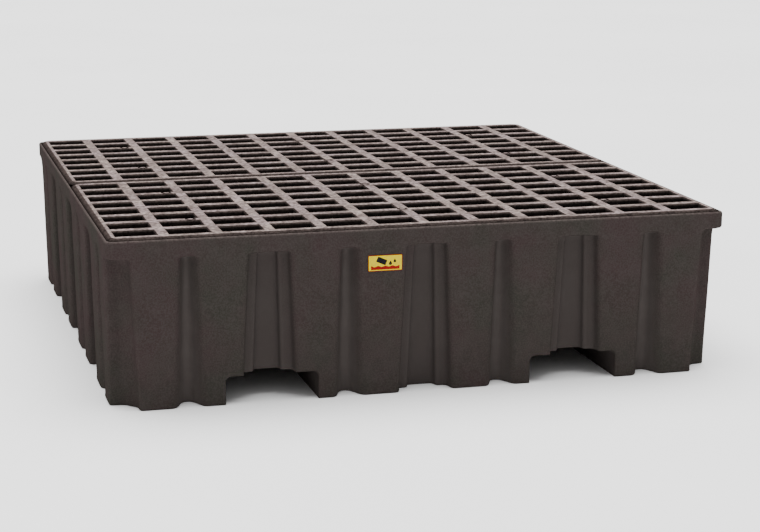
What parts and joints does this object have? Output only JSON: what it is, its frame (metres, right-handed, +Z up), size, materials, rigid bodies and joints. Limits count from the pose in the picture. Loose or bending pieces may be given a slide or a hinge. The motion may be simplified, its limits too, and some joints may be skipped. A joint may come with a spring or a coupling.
{
  "type": "spill containment pallet",
  "caption": "Square black plastic drum spill pallet: a corrugated one-piece sump with two fork pockets and two lift-off slotted grates.",
  "frame": {"origin": "centre of the footprint, on the floor", "axes": "+Z up, -Y towards the front wall with the label, +X to the right seen from the front; the fork pockets run along Y"},
  "size_m": [1.308, 1.308, 0.352],
  "materials": {
    "sump": "satin, slightly rough moulded skin",
    "grate": "matt, scuffed on the bar tops",
    "label": "printed film"
  },
  "bodies": {
    "sump": {"sump": "sump", "label": "label"},
    "front_grate": {"front_grate": "grate"},
    "rear_grate": {"rear_grate": "grate"}
  },
  "joints": [
    {"name": "front_grate_lift", "type": "slide", "parent": "sump", "child": "front_grate", "axis": [0, 0, 1], "range_m": [0, 0.4]},
    {"name": "rear_grate_lift", "type": "slide", "parent": "sump", "child": "rear_grate", "axis": [0, 0, 1], "range_m": [0, 0.4]}
  ]
}
